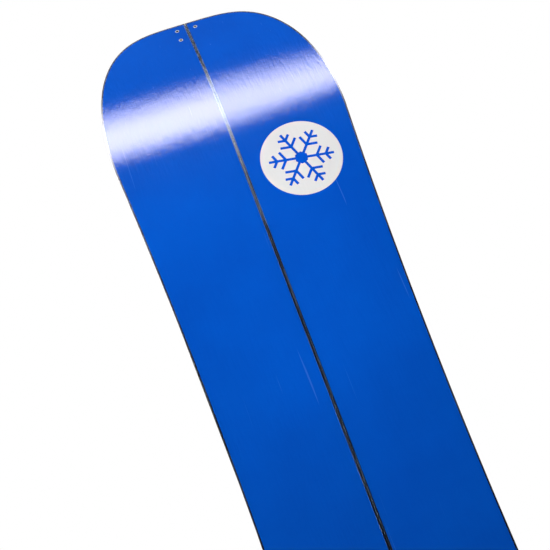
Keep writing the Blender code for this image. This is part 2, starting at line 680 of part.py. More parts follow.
def build_half(side, word):
    layers = ski_layers(side, word)
    cut_layers(side, word, layers)
    for end, place in ((1, "tip"), (-1, "tail")):
        rail(f"{word}_{place}_rail", side * RAIL_X, end * RAIL_S)
        slider(f"{word}_{place}_slider", side * RAIL_X, end * RAIL_S)
        outline = tongue_outline(side) if side == end else fork_outline(side)
        hook_plate(f"{word}_{place}_hook", side, end * HOOK_S, outline)
        for k, at in enumerate(hook_screw_frames(side, end * HOOK_S), 1):
            screw(f"{word}_{place}_hook_screw_{k}", at)
    for k, (x, s) in enumerate(INSERT_SPOTS, 1):
        touring_insert(f"{word}_touring_insert_{k}", side * x, s)
    return layers


def build_end(end, place):
    clip(f"{place}_clip", end)
    pivot_rivet(f"{place}_clip_rivet", end)
    receiver(f"{place}_receiver", end)
    for k, e in enumerate(RECEIVER_RIVET_E, 1):
        flush_rivet(f"{place}_receiver_rivet_{k}", end, e)


right = build_half(1, "right")
build_half(-1, "left")
disc_inlay(right["base_sheet"])
build_end(1, "tip")
build_end(-1, "tail")
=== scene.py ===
"""Looks for the splitboard: smooth, finely finished pieces in place of the faceted working solids.

Everything is in metres in the row frame: +Z towards the tip, +Y from base to deck, the seam at x = 0. Layered
pieces are drawn on the unrolled board as (x, s, d), across, along the base and up from it, and bend() lays
them on the profile.
"""

import math

import bmesh
import bpy
from mathutils import Euler, Matrix, Vector

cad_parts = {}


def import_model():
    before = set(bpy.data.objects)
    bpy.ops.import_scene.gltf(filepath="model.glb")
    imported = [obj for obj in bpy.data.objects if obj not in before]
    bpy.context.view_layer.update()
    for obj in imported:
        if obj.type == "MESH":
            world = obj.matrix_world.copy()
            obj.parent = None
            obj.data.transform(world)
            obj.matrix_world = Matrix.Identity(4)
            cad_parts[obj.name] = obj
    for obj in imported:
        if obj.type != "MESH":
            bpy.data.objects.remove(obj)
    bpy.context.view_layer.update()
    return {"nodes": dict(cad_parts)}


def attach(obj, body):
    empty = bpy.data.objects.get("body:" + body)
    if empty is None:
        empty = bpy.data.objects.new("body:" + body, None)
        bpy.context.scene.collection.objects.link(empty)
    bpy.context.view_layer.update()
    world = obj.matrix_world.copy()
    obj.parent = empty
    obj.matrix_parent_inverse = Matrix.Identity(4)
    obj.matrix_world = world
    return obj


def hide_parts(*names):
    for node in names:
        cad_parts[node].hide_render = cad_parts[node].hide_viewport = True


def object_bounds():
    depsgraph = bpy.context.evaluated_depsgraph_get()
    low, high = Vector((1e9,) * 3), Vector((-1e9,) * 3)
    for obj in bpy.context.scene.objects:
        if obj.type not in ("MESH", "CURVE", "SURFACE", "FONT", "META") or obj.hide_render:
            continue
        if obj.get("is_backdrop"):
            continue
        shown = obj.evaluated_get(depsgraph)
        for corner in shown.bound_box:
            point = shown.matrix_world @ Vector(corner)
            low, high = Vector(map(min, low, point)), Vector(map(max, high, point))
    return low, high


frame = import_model()
NODES = frame["nodes"]
MM = 0.001

# ---------------------------------------------------------------- dimensions, as in the working solids

HALF_LENGTH = 795 * MM
WAIST_HALF, WAIST_AT, SIDECUT_RADIUS = 128 * MM, -20 * MM, 7.62
NOSE_HALF, NOSE_LENGTH = 151 * MM, 225 * MM
TAIL_HALF, TAIL_LENGTH = 149.5 * MM, 207 * MM
NOSE_POWERS = (1.89, 3.87)
END_POINTS, END_CROWDING = 56, 1.6

CAMBER_RISE = 5 * MM
NOSE_RADIUS, TAIL_RADIUS = 525 * MM, 590 * MM
CONTACT_TIP, CONTACT_TAIL, END_FLAT = 575 * MM, 590 * MM, 60 * MM
CURVE_STEPS, SIDE_STEPS = 28, 60
MIDDLE_END, TAPER_START = 140 * MM, 400 * MM  # where the middle stretch ends and the core starts to thin
DISC_FLAT_START = 462 * MM  # the base is straight from here to the tip's contact, so that the disc lies flat
STRAIGHT_ENDS = [-TAPER_START, -MIDDLE_END, MIDDLE_END, TAPER_START, DISC_FLAT_START]

BASE_T = 1.7 * MM
CORE_BOTTOM = 2.8 * MM
CORE_THICK, CORE_THIN = 5.2 * MM, 1.6 * MM
DECK_ABOVE_CORE = 1.6 * MM
TOPSHEET_T = 0.5 * MM
EDGE_W = 1.9 * MM
SEAM_HALF = 0.3 * MM
HAIR = 0.04 * MM  # the line left between pieces that are bonded on the real board
EDGE_ROUND, WALL_INSET, TOP_INSET = 0.18 * MM, 0.15 * MM, 0.3 * MM
WALL_END, WALL_W, SEAM_WALL_W, WALL_FROM_X = 620 * MM, 8 * MM, 6 * MM, 50 * MM
BEYOND = 1.0  # further than the board reaches, for a cut that leaves one end whole

DISC_X, DISC_S, DISC_R = 71.8 * MM, 523 * MM, 51.4 * MM
DISC_SEGMENTS = 160
CRYSTAL_HUB, CRYSTAL_REACH, CRYSTAL_HALF_W = 0.17 * DISC_R, 0.80 * DISC_R, 1.7 * MM
CRYSTAL_TWIGS = ((0.36 * DISC_R, 0.25 * DISC_R), (0.58 * DISC_R, 0.17 * DISC_R))
CRYSTAL_TURN, CRYSTAL_PROUD = 9, 0.05 * MM

RAIL_X, RAIL_S, RAIL_LENGTH = 60 * MM, 270 * MM, 236 * MM
RAIL_W, RAIL_FLANGE_W, RAIL_FLANGE_T = 19 * MM, 25 * MM, 1.3 * MM
RAIL_SLOT_W, RAIL_CAVITY_W = 8 * MM, 13 * MM
RAIL_FLOOR, RAIL_LIP, RAIL_DEPTH, RAIL_TOP = 1.2 * MM, 1.6 * MM, 6.2 * MM, 0.1 * MM
RAIL_DOOR_LENGTH = 22 * MM
RAIL_CORNER, DOOR_CORNER = 4 * MM, 3 * MM
MARK_SPACING, MARK_LONG, MARK_SHORT = 10 * MM, 4.2 * MM, 2.4 * MM
MARK_OFF_SLOT, MARK_HALF_W, MARK_T = 1.2 * MM, 0.25 * MM, 0.03 * MM
SLIDER_LENGTH, SLIDER_W = 110 * MM, 12.4 * MM
SLIDER_HOLES = (-40 * MM, 40 * MM)
GAP = 0.3 * MM
M6_R, M6_PITCH, M6_RIDGE = 3 * MM, 1 * MM, 0.45 * MM
INSERT_R, INSERT_H = 4.6 * MM, 5.4 * MM
INSERT_SPOTS = ((48 * MM, 74 * MM), (80 * MM, 74 * MM), (64 * MM, 22 * MM))

HOOK_S, HOOK_T = 108 * MM, 2.2 * MM
HOOK_BACK, HOOK_FRONT, HOOK_REACH, HOOK_HALF_W = 36 * MM, 13 * MM, 12 * MM, 15 * MM
TONGUE_HALF_W, TONGUE_OUT = 4 * MM, 11.5 * MM
SCREW_X, SCREW_Y = 27 * MM, 9 * MM
SCREW_R, SCREW_HEAD_R, SCREW_HEAD_H = 2.3 * MM, 4.6 * MM, 2.0 * MM
SCREW_DEPTH, SOCKET_R, SOCKET_DEPTH = 5.5 * MM, 1.7 * MM, 1.5 * MM

PIVOT_X, PIVOT_E = 11.7 * MM, 12.2 * MM
STUD_X, STUD_E = -13.7 * MM, 21.4 * MM
RECEIVER_RIVET_E = (11.4 * MM, 31.4 * MM)
RIVET_R, RIVET_BORE_R, RIVET_BORE_DEPTH = 2.9 * MM, 1.3 * MM, 3 * MM
RECEIVER_T, RECEIVER_END_R, CLIP_T = 1.5 * MM, 7 * MM, 2.0 * MM
CLIP_LOW = GAP + RECEIVER_T + GAP
STUD_NECK_R, STUD_HEAD_R, HEAD_T = 3.0 * MM, 5.4 * MM, 1.5 * MM
CLIP_PIVOT_R, CLIP_SEAT_R = 8.5 * MM, 9.5 * MM
COLLAR_R, PIVOT_HEAD_R = 6.5 * MM, 6.5 * MM
SLOT_CLEARANCE, SLOT_LENGTH = 0.35 * MM, 16 * MM
SPLIT_TRAVEL, CLIP_TURN = 40 * MM, math.radians(165)
TAB_T, TAB_H, TAB_L, TAB_OUT = 1.6 * MM, 7 * MM, 14 * MM, 7.4 * MM
PUNCH = 3 * MM  # how far a drill reaches on either side of the deck


# ---------------------------------------------------------------- plan and side profile

def end_outline(half_width, length, start_s, slope):
    """One end's outline from its widest place to the seam."""
    power_s, power_x = NOSE_POWERS
    points = []
    for step in range(1, END_POINTS + 1):
        turn = math.pi / 2 * (1 - (1 - step / END_POINTS) ** END_CROWDING)
        along = math.sin(turn) ** (2 / power_s)
        across = math.cos(turn) ** (2 / power_x) if step < END_POINTS else 0.0
        flare = slope * length * along * (1 - along) * across
        points.append((half_width * across + flare, start_s + length * along))
    return points


def sidecut(s):
    return WAIST_HALF + (s - WAIST_AT) ** 2 / (2 * SIDECUT_RADIUS)


def stations():
    def curve(first, last):
        return [first + (last - first) * k / CURVE_STEPS for k in range(CURVE_STEPS + 1)]

    tail = [-HALF_LENGTH] + curve(-(HALF_LENGTH - END_FLAT), -CONTACT_TAIL)
    nose = curve(CONTACT_TIP, HALF_LENGTH - END_FLAT) + [HALF_LENGTH]
    return tail + STRAIGHT_ENDS + nose


def slope_at(s):
    """The base's angle from +Z towards the deck at s: a low arch of camber, then the upturned ends."""
    def camber(at):
        return -2 * CAMBER_RISE * at / CONTACT_TIP**2

    if s > CONTACT_TIP:
        return camber(CONTACT_TIP) + (min(s, HALF_LENGTH - END_FLAT) - CONTACT_TIP) / NOSE_RADIUS
    if s < -CONTACT_TAIL:
        return camber(-CONTACT_TAIL) - (min(-s, HALF_LENGTH - END_FLAT) - CONTACT_TAIL) / TAIL_RADIUS
    return camber(s)


def build_profile():
    spots = stations()
    angles = [slope_at((a + b) / 2) for a, b in zip(spots, spots[1:])]
    base = [Vector((0.0, 0.0))]
    for first, last, angle in zip(spots, spots[1:], angles):
        base.append(base[-1] + (last - first) * Vector((math.sin(angle), math.cos(angle))))
    mitres = []
    for k in range(len(spots)):
        before, after = angles[max(k - 1, 0)], angles[min(k, len(angles) - 1)]
        mean, half = (before + after) / 2, (after - before) / 2
        mitres.append(Vector((math.cos(mean), -math.sin(mean))) / math.cos(half))
    middle = spots.index(MIDDLE_END)
    centre = (base[middle - 1] + base[middle]) / 2
    return spots, [point - centre for point in base], mitres, angles


STATIONS, BASE_LINE, MITRES, ANGLES = build_profile()


def segment_of(s):
    for k in range(len(STATIONS) - 2):
        if s < STATIONS[k + 1]:
            return k
    return len(STATIONS) - 2


def bend(x, s, d):
    k = segment_of(s)
    part = (s - STATIONS[k]) / (STATIONS[k + 1] - STATIONS[k])
    base, up = BASE_LINE[k].lerp(BASE_LINE[k + 1], part), MITRES[k].lerp(MITRES[k + 1], part)
    return Vector((x, base.x + d * up.x, base.y + d * up.y))


def core_top(s):
    part = (abs(s) - TAPER_START) / (CONTACT_TIP - TAPER_START)
    return CORE_BOTTOM + CORE_THICK + (CORE_THIN - CORE_THICK) * min(max(part, 0.0), 1.0)


def deck_height(s):
    return core_top(s) + DECK_ABOVE_CORE


def deck_minus(drop):
    return lambda s: deck_height(s) - drop


def level(height):
    return lambda s: height


def profile_normal(point, steps=4):
    """The deck-side normal of the smooth profile at a point, found by a few steps along the base."""
    s = point.z
    for _ in range(steps):
        on_base = bend(0, s, 0)
        angle = slope_at(s)
        s += (point.z - on_base.z) * math.cos(angle) + (point.y - on_base.y) * math.sin(angle)
    angle = slope_at(s)
    return Vector((0, math.cos(angle), -math.sin(angle)))


# ---------------------------------------------------------------- mesh tools

def from_bmesh(name, bm, look=None):
    bmesh.ops.recalc_face_normals(bm, faces=bm.faces)
    mesh = bpy.data.meshes.new(name)
    bm.to_mesh(mesh)
    bm.free()
    made = bpy.data.objects.new(name, mesh)
    bpy.context.scene.collection.objects.link(made)
    if look:
        mesh.materials.append(look)
    return made


def settle(piece):
    """Puts the result of a piece's modifiers into its mesh."""
    bpy.context.view_layer.update()
    evaluated = piece.evaluated_get(bpy.context.evaluated_depsgraph_get())
    mesh = bpy.data.meshes.new_from_object(evaluated)
    piece.modifiers.clear()
    piece.data = mesh


def boolean(piece, other, operation="DIFFERENCE"):
    step = piece.modifiers.new(operation.lower(), "BOOLEAN")
    step.object, step.operation, step.solver = other, operation, "EXACT"
    settle(piece)
    bpy.data.objects.remove(other, do_unlink=True)


def round_edges(piece, width, segments=2, angle=32):
    step = piece.modifiers.new("round", "BEVEL")
    step.width, step.segments, step.limit_method = width, segments, "ANGLE"
    step.angle_limit = math.radians(angle)
    settle(piece)


def smooth(piece, angle=35):
    piece.data.shade_smooth()
    piece.data.set_sharp_from_angle(angle=math.radians(angle))


def smooth_to_profile(piece, lies_along=0.985):
    """Shades faces that lie along the board, by the cosine of their tilt, with the profile's own normal."""
    smooth(piece)
    mesh = piece.data
    normals = [Vector(corner.vector) for corner in mesh.corner_normals]
    at_vertex = [profile_normal(vertex.co) for vertex in mesh.vertices]
    for face in mesh.polygons:
        side = face.normal.dot(at_vertex[face.vertices[0]])
        if abs(side) < lies_along:
            continue
        for corner in face.loop_indices:
            normals[corner] = at_vertex[mesh.loops[corner].vertex_index] * math.copysign(1, side)
    mesh.normals_split_custom_set(normals)


def board_side(inset):
    """One side of the board from tail to tip, moved inwards by inset: a list of (x, s)."""
    nose_start, tail_start = HALF_LENGTH - NOSE_LENGTH, TAIL_LENGTH - HALF_LENGTH
    slope_tip = (nose_start - WAIST_AT) / SIDECUT_RADIUS
    slope_tail = (WAIST_AT - tail_start) / SIDECUT_RADIUS
    middle = [tail_start + (nose_start - tail_start) * k / SIDE_STEPS for k in range(SIDE_STEPS + 1)]
    side = [(x, -s) for x, s in reversed(end_outline(TAIL_HALF, TAIL_LENGTH, -tail_start, slope_tail))]
    side += [(sidecut(s), s) for s in middle]
    side += end_outline(NOSE_HALF, NOSE_LENGTH, nose_start, slope_tip)
    moved = []
    for k, (x, s) in enumerate(side):
        before, after = side[max(k - 1, 0)], side[min(k + 1, len(side) - 1)]
        along = Vector((after[0] - before[0], after[1] - before[1])).normalized()
        if k in (0, len(side) - 1):
            along = Vector((1, 0) if k == 0 else (-1, 0))
        moved.append((x - along.y * inset, s + along.x * inset))
    return moved


def whole(inset):
    return [board_side(inset)]


def band(outer, inner):
    out, back = board_side(outer), board_side(inner)
    return [[out[k], out[k + 1], back[k + 1], back[k]] for k in range(len(out) - 1)]


def slab(name, outlines, low, high, look, side=1, x_from=None, s_range=None, x_to=None):
    """A flat piece between the heights low(s) and high(s), from outlines of (x, s) that join edge to edge."""
    flat = bmesh.new()
    for outline in outlines:
        flat.faces.new([flat.verts.new((x, s, 0)) for x, s in outline])
    bmesh.ops.remove_doubles(flat, verts=flat.verts, dist=1e-6)
    cuts = []
    if x_from is not None:
        cuts.append(((x_from, 0, 0), (-1, 0, 0)))
    if x_to is not None:
        cuts.append(((x_to, 0, 0), (1, 0, 0)))
    if s_range:
        cuts += [((0, s_range[0], 0), (0, -1, 0)), ((0, s_range[1], 0), (0, 1, 0))]
    for point, out in cuts:
        parts = flat.verts[:] + flat.edges[:] + flat.faces[:]
        bmesh.ops.bisect_plane(flat, geom=parts, plane_co=point, plane_no=out, clear_outer=True, dist=1e-7)
    for s in STATIONS[1:-1]:
        parts = flat.verts[:] + flat.edges[:] + flat.faces[:]
        bmesh.ops.bisect_plane(flat, geom=parts, plane_co=(0, s, 0), plane_no=(0, 1, 0), dist=1e-7)
    raised = bmesh.ops.extrude_face_region(flat, geom=flat.faces[:], use_keep_orig=True)
    top = {item for item in raised["geom"] if isinstance(item, bmesh.types.BMVert)}
    for vert in flat.verts:
        x, s, _ = vert.co
        vert.co = bend(side * x, s, high(s) if vert in top else low(s))
    return from_bmesh(name, flat, look)


def frame_at(x, s, height, end=1):
    """Where a piece stands: x across the board, y towards the waist or tail, z up from the deck."""
    k = segment_of(s)
    up = Vector((0, math.cos(ANGLES[k]), -math.sin(ANGLES[k])))
    along = Vector((0, -math.sin(ANGLES[k]), -math.cos(ANGLES[k]))) * end
    axes = Matrix((Vector((end, 0, 0)), along, up)).transposed().to_4x4()
    return Matrix.Translation(bend(x, s, height)) @ axes


def end_frame(end, x=0.0, e=0.0):
    s = end * (HALF_LENGTH - e)
    return frame_at(end * x, s, deck_height(s), end)


def circle(x, y, radius, segments=48):
    turns = [2 * math.pi * k / segments for k in range(segments)]
    return [(x + radius * math.cos(turn), y + radius * math.sin(turn)) for turn in turns]


def rectangle(x_from, x_to, y_from, y_to):
    return [(x_from, y_from), (x_to, y_from), (x_to, y_to), (x_from, y_to)]


def round_rectangle(half_x, half_y, radius, steps=8):
    outline = []
    for turn, (cx, cy) in enumerate(((1, 1), (-1, 1), (-1, -1), (1, -1))):
        for k in range(steps + 1):
            angle = math.pi / 2 * (turn + k / steps)
            outline.append((cx * (half_x - radius) + radius * math.cos(angle),
                            cy * (half_y - radius) + radius * math.sin(angle)))
    return outline


def round_corners(points, radius, steps=5):
    """An outline with each corner, inner or outer, rounded."""
    rounded = []
    count = len(points)
    for k in range(count):
        corner = Vector(points[k])
        before, after = Vector(points[k - 1]) - corner, Vector(points[(k + 1) % count]) - corner
        reach = min(radius, before.length * 0.45, after.length * 0.45)
        first, last = corner + before.normalized() * reach, corner + after.normalized() * reach
        for step in range(steps + 1):
            t = step / steps
            rounded.append(tuple(first * (1 - t) ** 2 + corner * 2 * t * (1 - t) + last * t**2))
    return rounded


def prisms(name, shapes, look=None):
    """One object from a list of prisms, each (outline, low, high, frame)."""
    bm = bmesh.new()
    for outline, low, high, at in shapes:
        face = bm.faces.new([bm.verts.new(at @ Vector((x, y, low))) for x, y in outline])
        raised = bmesh.ops.extrude_face_region(bm, geom=[face], use_keep_orig=True)
        verts = [item for item in raised["geom"] if isinstance(item, bmesh.types.BMVert)]
        bmesh.ops.translate(bm, verts=verts, vec=at.to_3x3() @ Vector((0, 0, high - low)))
    return from_bmesh(name, bm, look)


def turned(name, profile, at, look=None, segments=48):
    """A turned piece from an (r, z) profile that starts and ends on the axis, or closes on itself."""
    bm = bmesh.new()
    rings = []
    for r, z in profile:
        if r == 0:
            rings.append([bm.verts.new(at @ Vector((0, 0, z)))] * segments)
        else:
            rings.append([bm.verts.new(at @ Vector((x, y, z))) for x, y in circle(0, 0, r, segments)])
    if profile[0][0] > 0:
        rings.append(rings[0])
    for ring, after in zip(rings, rings[1:]):
        for k in range(segments):
            corners = [ring[k], ring[(k + 1) % segments], after[(k + 1) % segments], after[k]]
            corners = [v for i, v in enumerate(corners) if v not in corners[:i]]
            if len(corners) > 2:
                bm.faces.new(corners)
    return from_bmesh(name, bm, look)


# ---------------------------------------------------------------- materials

class Look:
    """A Principled material with a few procedural parts."""

    MIX_FIRST, MIX_SECOND, MIX_RESULT = 6, 7, 2  # the Mix node's sockets for colours

    def __init__(self, name, colour, roughness, metallic=0.0, **sockets):
        self.material = bpy.data.materials.new(name)
        self.material.use_nodes = True
        self.tree = self.material.node_tree
        self.shader = self.tree.nodes["Principled BSDF"]
        self.shader.inputs["Base Color"].default_value = (*colour, 1)
        self.shader.inputs["Roughness"].default_value = roughness
        self.shader.inputs["Metallic"].default_value = metallic
        for socket, value in sockets.items():
            self.shader.inputs[socket.replace("_", " ")].default_value = value
        self.place = self.tree.nodes.new("ShaderNodeTexCoord").outputs["Object"]

    def link(self, source, target):
        self.tree.links.new(source, target)

    def scaled(self, x, y, z):
        """Object coordinates stretched by a factor along each axis."""
        mapping = self.tree.nodes.new("ShaderNodeMapping")
        mapping.inputs["Scale"].default_value = (x, y, z)
        self.link(self.place, mapping.inputs["Vector"])
        return mapping.outputs["Vector"]

    def noise(self, scale, detail=3.0, rough=0.55, place=None, distortion=0.0):
        node = self.tree.nodes.new("ShaderNodeTexNoise")
        node.inputs["Scale"].default_value = scale
        node.inputs["Detail"].default_value = detail
        node.inputs["Roughness"].default_value = rough
        node.inputs["Distortion"].default_value = distortion
        self.link(place or self.place, node.inputs["Vector"])
        return node.outputs["Fac"]

    def range(self, value, from_low, from_high, to_low, to_high):
        node = self.tree.nodes.new("ShaderNodeMapRange")
        ends = {"From Min": from_low, "From Max": from_high, "To Min": to_low, "To Max": to_high}
        for socket, number in ends.items():
            node.inputs[socket].default_value = number
        self.link(value, node.inputs["Value"])
        return node.outputs["Result"]

    def math(self, operation, first, second=0):
        node = self.tree.nodes.new("ShaderNodeMath")
        node.operation = operation
        for socket, value in zip(node.inputs, (first, second)):
            if isinstance(value, (int, float)):
                socket.default_value = value
            else:
                self.link(value, socket)
        return node.outputs["Value"]

    def mix(self, factor, first, second):
        node = self.tree.nodes.new("ShaderNodeMix")
        node.data_type = "RGBA"
        sockets = (node.inputs["Factor"], node.inputs[self.MIX_FIRST], node.inputs[self.MIX_SECOND])
        for socket, value in zip(sockets, (factor, first, second)):
            if isinstance(value, tuple):
                socket.default_value = (*value, 1)
            elif isinstance(value, (int, float)):
                socket.default_value = value
            else:
                self.link(value, socket)
        return node.outputs[self.MIX_RESULT]

    def colour(self, value):
        self.link(value, self.shader.inputs["Base Color"])

    def roughness(self, value):
        self.link(value, self.shader.inputs["Roughness"])

    def bump(self, height, distance):
        node = self.tree.nodes.new("ShaderNodeBump")
        node.inputs["Distance"].default_value = distance
        self.link(height, node.inputs["Height"])
        previous = self.shader.inputs["Normal"]
        if previous.is_linked:
            self.link(previous.links[0].from_socket, node.inputs["Normal"])
        self.link(node.outputs["Normal"], previous)


LENGTHWISE, EVEN = (700, 700, 9), (1200, 1200, 1200)
WEAVE_PITCH = 1.6 * MM
CONTOUR_LEVELS = 22


def sintered(name, light, dark, scratch, gloss=0.105, level=0.8):
    """Ground, waxed polyethylene: soft mottling, a fine lengthwise stone structure and a few scratches."""
    look = Look(name, light, gloss, Specular_IOR_Level=level)
    clouds = look.noise(5.5, 4, 0.6)
    grain = look.noise(430, 1, 0.6)
    structure = look.noise(1.0, 1, 0.6, look.scaled(300, 300, 50))
    scratches = look.noise(1.0, 1, 0.4, look.scaled(330, 300, 5.5), distortion=0.4)
    base = look.mix(look.range(clouds, 0.35, 0.68, 0, 1), light, dark)
    look.colour(look.mix(look.range(scratches, 0.76, 0.79, 0, 0.2), base, scratch))
    look.roughness(look.range(look.math("ADD", grain, structure), 0.6, 1.4, gloss - 0.02, gloss + 0.02))
    look.bump(structure, 0.24 * MM)
    look.bump(grain, 0.07 * MM)
    return look.material


def ground_steel(name, colour, roughness, marks_scale=LENGTHWISE, relief=0.03 * MM, vary=0.1):
    """Ground steel with fine marks, along the board unless told otherwise, and slight tarnish."""
    look = Look(name, colour, roughness, 1.0)
    marks = look.noise(1.0, 3, 0.6, look.scaled(*marks_scale))
    tarnish = look.noise(60, 4, 0.65)
    dull = tuple(c * 0.72 for c in colour)
    look.colour(look.mix(look.range(tarnish, 0.52, 0.75, 0, 0.7), colour, dull))
    look.roughness(look.range(marks, 0.3, 0.7, roughness - 0.7 * vary, roughness + vary))
    look.bump(marks, relief)
    return look.material


def moulded(name, colour, roughness):
    """Sawn and scraped ABS: fine marks across the cut and a slight haze."""
    look = Look(name, colour, roughness)
    cut = look.noise(1.0, 2, 0.5, look.scaled(40, 40, 1100))
    haze = look.noise(30, 3, 0.6)
    pale = tuple(min(c * 2.2 + 0.01, 1) for c in colour)
    look.colour(look.mix(look.range(haze, 0.45, 0.75, 0, 0.5), colour, pale))
    look.roughness(look.range(cut, 0.3, 0.7, roughness - 0.06, roughness + 0.08))
    look.bump(cut, 0.04 * MM)
    return look.material


def deck_film():
    """A matte topsheet: charcoal in the middle, slate blue towards the ends, with fine contour lines."""
    look = Look("topsheet_film", (0.03, 0.04, 0.055), 0.42, Coat_Weight=0.25, Coat_Roughness=0.28)
    separate = look.tree.nodes.new("ShaderNodeSeparateXYZ")
    look.link(look.place, separate.inputs["Vector"])
    reach = look.math("ABSOLUTE", separate.outputs["Z"])
    drift = look.math("ADD", reach, look.range(look.noise(9, 4, 0.6), 0, 1, -0.06, 0.06))
    fade = look.range(drift, 0.34, 0.76, 0, 1)
    tone = look.mix(fade, (0.020, 0.026, 0.034), (0.03, 0.15, 0.34))
    hills = look.noise(3.2, 2, 0.45, look.scaled(1.5, 1, 0.8))
    relief = look.math("FRACT", look.math("MULTIPLY", hills, CONTOUR_LEVELS))
    line = look.range(look.math("ABSOLUTE", look.math("SUBTRACT", relief, 0.5)), 0.03, 0.09, 0.75, 0)
    lined = look.mix(look.math("MULTIPLY", line, look.range(fade, 0, 1, 0.12, 0.7)), tone, (0.16, 0.33, 0.52))
    waves = [look.math("SINE", look.math("MULTIPLY", separate.outputs[axis], 2 * math.pi / WEAVE_PITCH))
             for axis in ("X", "Z")]
    weave = look.math("MULTIPLY", *waves)
    speck = look.noise(1400, 2, 0.6)
    look.colour(look.mix(look.range(weave, -1, 1, 0, 0.16), lined, (0.10, 0.13, 0.16)))
    look.roughness(look.range(speck, 0.3, 0.7, 0.36, 0.48))
    look.bump(weave, 0.03 * MM)
    look.bump(speck, 0.03 * MM)
    return look.material


def poplar():
    """Planed poplar with its grain along the board."""
    look = Look("poplar_core", (0.62, 0.47, 0.30), 0.6)
    grain = look.noise(1.0, 4, 0.6, look.scaled(220, 220, 6), distortion=0.6)
    look.colour(look.mix(grain, (0.70, 0.55, 0.37), (0.45, 0.31, 0.18)))
    look.bump(grain, 0.1 * MM)
    return look.material


def glass_weave():
    """Resin-soaked glass, dark olive, with its fibres along the board."""
    look = Look("glass_laminate", (0.11, 0.12, 0.09), 0.4)
    fibres = look.noise(1.0, 2, 0.5, look.scaled(900, 900, 40))
    look.colour(look.mix(fibres, (0.13, 0.14, 0.10), (0.07, 0.08, 0.06)))
    look.bump(fibres, 0.05 * MM)
    return look.material


def bead_blasted(name, colour, roughness):
    """Blasted and plated metal: an even fine grain with slightly worn patches."""
    look = Look(name, colour, roughness, 1.0)
    grain = look.noise(2200, 2, 0.6)
    patch = look.noise(45, 3, 0.6)
    worn = tuple(min(c * 1.5 + 0.01, 1) for c in colour)
    look.colour(look.mix(look.range(patch, 0.5, 0.75, 0, 0.3), colour, worn))
    look.roughness(look.range(grain, 0.3, 0.7, roughness - 0.03, roughness + 0.05))
    look.bump(grain, 0.01 * MM)
    return look.material


BLUE = (0.0, 0.082, 0.50), (0.0, 0.065, 0.425), (0.12, 0.28, 0.80)
BLUES = {"left": sintered("sintered_blue_left", *BLUE),
         "right": sintered("sintered_blue_right", *BLUE, 0.115, 0.69)}
WHITE = sintered("sintered_white", (0.67, 0.68, 0.66), (0.64, 0.65, 0.63), (0.62, 0.63, 0.66))
INK = sintered("inlay_blue", (0.0, 0.085, 0.58), (0.0, 0.07, 0.50), (0.1, 0.2, 0.6))
# The seam edges' steel is tinted blue and darkened: a painted reflection of the blue base beside it, with
# painted shade for the dark room it mirrors.
STEEL = ground_steel("edge_steel", (0.145, 0.18, 0.25), 0.25)
# The steel of the outer edges is darkened as painted shade, standing in for the dark room it reflects, not
# for wear.
DARK_PAINTED_STEEL = ground_steel("dark_painted_edge_steel", (0.16, 0.17, 0.19), 0.24)
STAINLESS = ground_steel("stainless", (0.63, 0.63, 0.64), 0.3, EVEN, 0.004 * MM, 0.03)
RIVET = ground_steel("rivet_steel", (0.62, 0.61, 0.60), 0.33, EVEN, 0.004 * MM, 0.03)
# Near-black painted shade for the rivets' hollows.
SHADE = moulded("rivet_hollow_painted_shade", (0.012, 0.012, 0.014), 0.7)
ZINC = bead_blasted("zinc_plate", (0.50, 0.50, 0.50), 0.38)
ANODISED = bead_blasted("black_anodised", (0.045, 0.046, 0.05), 0.38)
MARKS = bead_blasted("laser_marks", (0.55, 0.56, 0.58), 0.5)
SIDEWALL = moulded("sidewall_abs", (0.018, 0.018, 0.02), 0.42)
TOPSHEET = deck_film()
POPLAR = poplar()
LAMINATE = glass_weave()


# ---------------------------------------------------------------- the layers of one half

def use(piece, body, slot, *nodes):
    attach(piece, body)
    if nodes:
        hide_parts(*nodes)
    return piece


def rivet_spots(side):
    """(end, x, e) of this half's rivets: a clip's pivot at one end, a receiver's pair at the other."""
    return [(side, PIVOT_X, PIVOT_E)] + [(-side, STUD_X, e) for e in RECEIVER_RIVET_E]


def rivet_drill(side, clearance):
    through = 2 * deck_height(0)
    holes = [(circle(0, 0, RIVET_R + clearance), -through, through, end_frame(end, x, e))
             for end, x, e in rivet_spots(side)]
    return prisms("rivet_drill", holes)


def disc_frame():
    return frame_at(DISC_X, DISC_S, 0)


def base_pieces(side, word, body):
    """The running base between its steel edges, all flush at the base."""
    past_edge = SEAM_HALF + EDGE_W
    base = slab(f"{word}_running_base", whole(EDGE_W + HAIR), level(0), level(BASE_T), BLUES[word], side,
                x_from=past_edge + HAIR)
    boolean(base, rivet_drill(side, 0.08 * MM))
    if side == 1:
        hole = circle(0, 0, DISC_R + HAIR, DISC_SEGMENTS)
        boolean(base, prisms("disc_punch", [(hole, -MM, BASE_T + MM, disc_frame())]))
    smooth_to_profile(base)
    use(base, body, "base", f"{word}_base_sheet")

    # The outer edges take the steel darkened as painted shade.
    outer = slab(f"{word}_wrap_edge", band(0, EDGE_W), level(0), level(BASE_T), DARK_PAINTED_STEEL, side,
                 x_from=SEAM_HALF)
    round_edges(outer, EDGE_ROUND)
    smooth_to_profile(outer)
    use(outer, body, "edge", f"{word}_outer_edge")

    end = HALF_LENGTH - EDGE_W - HAIR
    # The seam edges take the steel tinted as a painted reflection of the base.
    inner = slab(f"{word}_seam_edge", whole(0), level(0), level(BASE_T), STEEL, side,
                 x_from=SEAM_HALF, x_to=past_edge, s_range=(-end, end))
    round_edges(inner, EDGE_ROUND)
    smooth_to_profile(inner)
    use(inner, body, "edge", f"{word}_inner_edge")


